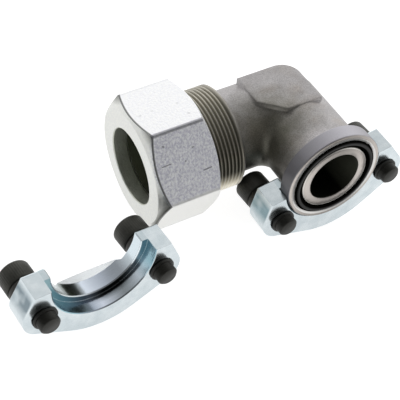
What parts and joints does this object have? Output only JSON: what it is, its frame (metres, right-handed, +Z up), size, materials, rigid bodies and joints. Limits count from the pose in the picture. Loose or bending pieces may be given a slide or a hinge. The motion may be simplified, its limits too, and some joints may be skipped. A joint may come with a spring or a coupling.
{
  "type": "split flange elbow fitting",
  "caption": "Forged right-angle hydraulic elbow with a flanged, O-ring sealed port and a union nut for tube, with split flange halves and captive cap screws.",
  "frame": {"origin": "centre of the elbow's port face", "axes": "-Y out of the port; +Z up; the tube side leaves along -X, tipped down by 3.7 degrees as the fitting lies; the floor is at z = -0.0365"},
  "size_m": [0.207, 0.1002, 0.0643],
  "materials": {
    "phosphated_steel": "matte",
    "zinc_plated_nut": "satin",
    "zinc_plated_half": "glossy",
    "bright_steel": "satin",
    "black_oxide_steel": "semi-matte",
    "black_nitrile": "matte"
  },
  "bodies": {
    "elbow": {"elbow_body": "phosphated_steel", "flange_o_ring": "black_nitrile"},
    "ring": {"cutting_ring": "bright_steel"},
    "nut": {"union_nut": "zinc_plated_nut"},
    "seated_flange": {"seated_half": "zinc_plated_half", "seated_spring_washer_left": "black_oxide_steel", "seated_spring_washer_right": "black_oxide_steel"},
    "seated_screw_left": {"seated_screw_left": "black_oxide_steel", "seated_keeper_left": "black_oxide_steel"},
    "seated_screw_right": {"seated_screw_right": "black_oxide_steel", "seated_keeper_right": "black_oxide_steel"},
    "loose_flange": {"loose_half": "zinc_plated_half", "loose_spring_washer_left": "black_oxide_steel", "loose_spring_washer_right": "black_oxide_steel"},
    "loose_screw_left": {"loose_screw_left": "black_oxide_steel", "loose_keeper_left": "black_oxide_steel"},
    "loose_screw_right": {"loose_screw_right": "black_oxide_steel", "loose_keeper_right": "black_oxide_steel"}
  },
  "joints": [
    {"name": "ring_slide", "type": "slide", "parent": "elbow", "child": "ring", "axis": [-0.9979, 0, -0.0647], "range_m": [0, 0.0031]},
    {"name": "nut_turn", "type": "hinge", "parent": "ring", "child": "nut", "pos_m": [0, 0.0495, 0], "axis": [-0.9979, 0, -0.0647], "range_deg": [0, 540]},
    {"name": "seated_swivel", "type": "hinge", "parent": "elbow", "child": "seated_flange", "pos_m": [0, 0, 0], "axis": [0, 1, 0], "range_deg": [-160, 0]},
    {"name": "loose_lift", "type": "slide", "parent": "elbow", "child": "loose_flange", "axis": [0, 0, 1], "range_m": [0, 0.06]},
    {"name": "seated_screw_left_turn", "type": "hinge", "parent": "seated_flange", "child": "seated_screw_left", "pos_m": [-0.02539, 0.0081, -0.02109], "axis": [-0.0543, 0.9985, -0.012], "continuous": true},
    {"name": "seated_screw_right_turn", "type": "hinge", "parent": "seated_flange", "child": "seated_screw_right", "pos_m": [0.03192, 0.0081, -0.00839], "axis": [-0.0543, 0.9985, -0.012], "continuous": true},
    {"name": "loose_screw_left_turn", "type": "hinge", "parent": "loose_flange", "child": "loose_screw_left", "pos_m": [-0.15435, -0.00311, -0.0151], "axis": [-0.0983, 0.9952, 0], "continuous": true},
    {"name": "loose_screw_right_turn", "type": "hinge", "parent": "loose_flange", "child": "loose_screw_right", "pos_m": [-0.09578, 0.00078, -0.0151], "axis": [-0.0983, 0.9952, 0], "continuous": true}
  ],
  "couplings": [
    {"joint": "ring_slide", "follows": "nut_turn", "m_per_rad": 0.00031831}
  ]
}
